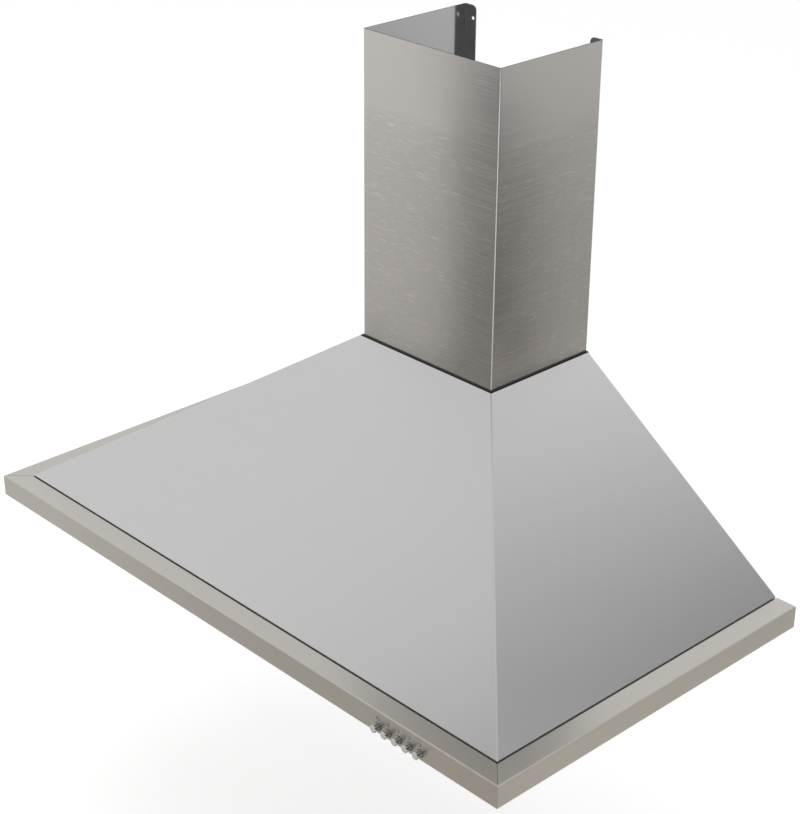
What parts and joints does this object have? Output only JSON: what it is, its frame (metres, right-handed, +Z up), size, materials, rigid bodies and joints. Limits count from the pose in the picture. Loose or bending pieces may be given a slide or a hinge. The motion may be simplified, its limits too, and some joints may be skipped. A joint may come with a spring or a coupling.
{
  "type": "canopy range hood",
  "caption": "Wall-mounted stainless canopy range hood: sloped canopy, chimney cover, push buttons, tilting grease filters and a radial blower.",
  "frame": {"origin": "on the wall plane, in the middle of the bottom edge of the back panel", "axes": "+X to the right along the wall as seen from the front, +Y into the wall, +Z up"},
  "size_m": [0.9, 0.508, 0.634],
  "materials": {
    "canopy_steel": "satin brushed stainless",
    "fascia_steel": "brushed stainless, grain along the rails",
    "chimney_steel": "brushed stainless, grain across the panel",
    "panel_steel": "satin brushed stainless",
    "zinc_steel": "zinc plated sheet",
    "black_paint": "black powder coat, satin",
    "screw_steel": "zinc plated",
    "filter_aluminium": "bare aluminium",
    "flap_aluminium": "rolled aluminium sheet",
    "chrome": "polished chrome plate",
    "ground_steel": "ground bright steel",
    "black_plastic": "moulded, fine texture",
    "grey_plastic": "moulded, fine texture",
    "white_plastic": "moulded",
    "bronze": "sintered bronze",
    "rubber": "soft black rubber",
    "lens_glass": "frosted lens glass",
    "bulb_glass": "clear capsule glass"
  },
  "bodies": {
    "root": {"canopy_shell": "canopy_steel", "fascia_frame": "fascia_steel", "chimney_cover": "chimney_steel", "bottom_panel": "panel_steel", "back_panel": "zinc_steel", "motor_body": "zinc_steel", "motor_bracket": "zinc_steel", "capacitor_clip": "zinc_steel", "lamp_housing_left": "zinc_steel", "lamp_housing_right": "zinc_steel", "top_deck": "black_paint", "chimney_screws": "screw_steel", "bottom_panel_screws": "screw_steel", "case_screws": "screw_steel", "motor_screws": "screw_steel", "blower_screws": "screw_steel", "terminal_box_screws": "screw_steel", "lamp_bezel_left": "chrome", "lamp_bezel_right": "chrome", "flap_pins": "ground_steel", "outlet_adapter": "black_plastic", "mains_gland": "black_plastic", "switch_block": "black_plastic", "scroll_case_left": "grey_plastic", "scroll_case_right": "grey_plastic", "terminal_box": "white_plastic", "terminal_box_lid": "white_plastic", "terminal_block": "white_plastic", "capacitor": "white_plastic", "motor_bushes": "bronze", "motor_grommets": "rubber", "lamp_lens_left": "lens_glass", "lamp_lens_right": "lens_glass", "lamp_bulb_left": "bulb_glass", "lamp_bulb_right": "bulb_glass"},
    "filter_left": {"filter_frame_left": "filter_aluminium", "filter_pad_left": "filter_aluminium", "filter_mesh_left": "filter_aluminium", "latch_cup_left": "grey_plastic"},
    "latch_left": {"latch_slider_left": "black_plastic"},
    "filter_centre": {"filter_frame_centre": "filter_aluminium", "filter_pad_centre": "filter_aluminium", "filter_mesh_centre": "filter_aluminium", "latch_cup_centre": "grey_plastic"},
    "latch_centre": {"latch_slider_centre": "black_plastic"},
    "filter_right": {"filter_frame_right": "filter_aluminium", "filter_pad_right": "filter_aluminium", "filter_mesh_right": "filter_aluminium", "latch_cup_right": "grey_plastic"},
    "latch_right": {"latch_slider_right": "black_plastic"},
    "rotor": {"impeller_blades": "zinc_steel", "impeller_frame": "zinc_steel", "motor_shaft": "ground_steel"},
    "front_flap": {"flap_front": "flap_aluminium"},
    "rear_flap": {"flap_rear": "flap_aluminium"},
    "lamp_button": {"button_lamp": "chrome"},
    "off_button": {"button_off": "chrome"},
    "low_button": {"button_low": "chrome"},
    "middle_button": {"button_middle": "chrome"},
    "high_button": {"button_high": "chrome"}
  },
  "joints": [
    {"name": "filter_left_tilt", "type": "hinge", "parent": "root", "child": "filter_left", "pos_m": [-0.26567, -0.0515, 0.01205], "axis": [1, 0, 0], "range_deg": [0, 60]},
    {"name": "latch_left_slide", "type": "slide", "parent": "filter_left", "child": "latch_left", "axis": [0, 1, 0], "range_m": [0, 0.006]},
    {"name": "filter_centre_tilt", "type": "hinge", "parent": "root", "child": "filter_centre", "pos_m": [0, -0.0515, 0.01205], "axis": [1, 0, 0], "range_deg": [0, 60]},
    {"name": "latch_centre_slide", "type": "slide", "parent": "filter_centre", "child": "latch_centre", "axis": [0, 1, 0], "range_m": [0, 0.006]},
    {"name": "filter_right_tilt", "type": "hinge", "parent": "root", "child": "filter_right", "pos_m": [0.26567, -0.0515, 0.01205], "axis": [1, 0, 0], "range_deg": [0, 60]},
    {"name": "latch_right_slide", "type": "slide", "parent": "filter_right", "child": "latch_right", "axis": [0, 1, 0], "range_m": [0, 0.006]},
    {"name": "rotor_spin", "type": "hinge", "parent": "root", "child": "rotor", "pos_m": [0, -0.132, 0.14], "axis": [1, 0, 0], "continuous": true},
    {"name": "front_flap_swing", "type": "hinge", "parent": "root", "child": "front_flap", "pos_m": [0, -0.089, 0.295], "axis": [-1, 0, 0], "range_deg": [0, 75]},
    {"name": "rear_flap_swing", "type": "hinge", "parent": "root", "child": "rear_flap", "pos_m": [0, -0.081, 0.295], "axis": [1, 0, 0], "range_deg": [0, 75]},
    {"name": "lamp_button_press", "type": "slide", "parent": "root", "child": "lamp_button", "axis": [0, 1, 0], "range_m": [0, 0.003], "stiffness_N_per_m": 300, "springref_m": -0.002},
    {"name": "off_button_press", "type": "slide", "parent": "root", "child": "off_button", "axis": [0, 1, 0], "range_m": [0, 0.003], "stiffness_N_per_m": 300, "springref_m": -0.002},
    {"name": "low_button_press", "type": "slide", "parent": "root", "child": "low_button", "axis": [0, 1, 0], "range_m": [0, 0.003], "stiffness_N_per_m": 300, "springref_m": -0.002},
    {"name": "middle_button_press", "type": "slide", "parent": "root", "child": "middle_button", "axis": [0, 1, 0], "range_m": [0, 0.003], "stiffness_N_per_m": 300, "springref_m": -0.002},
    {"name": "high_button_press", "type": "slide", "parent": "root", "child": "high_button", "axis": [0, 1, 0], "range_m": [0, 0.003], "stiffness_N_per_m": 300, "springref_m": -0.002}
  ],
  "couplings": [
    {"joint": "latch_left_slide", "follows": "filter_left_tilt", "m_per_rad": 0.0057},
    {"joint": "latch_centre_slide", "follows": "filter_centre_tilt", "m_per_rad": 0.0057},
    {"joint": "latch_right_slide", "follows": "filter_right_tilt", "m_per_rad": 0.0057}
  ]
}
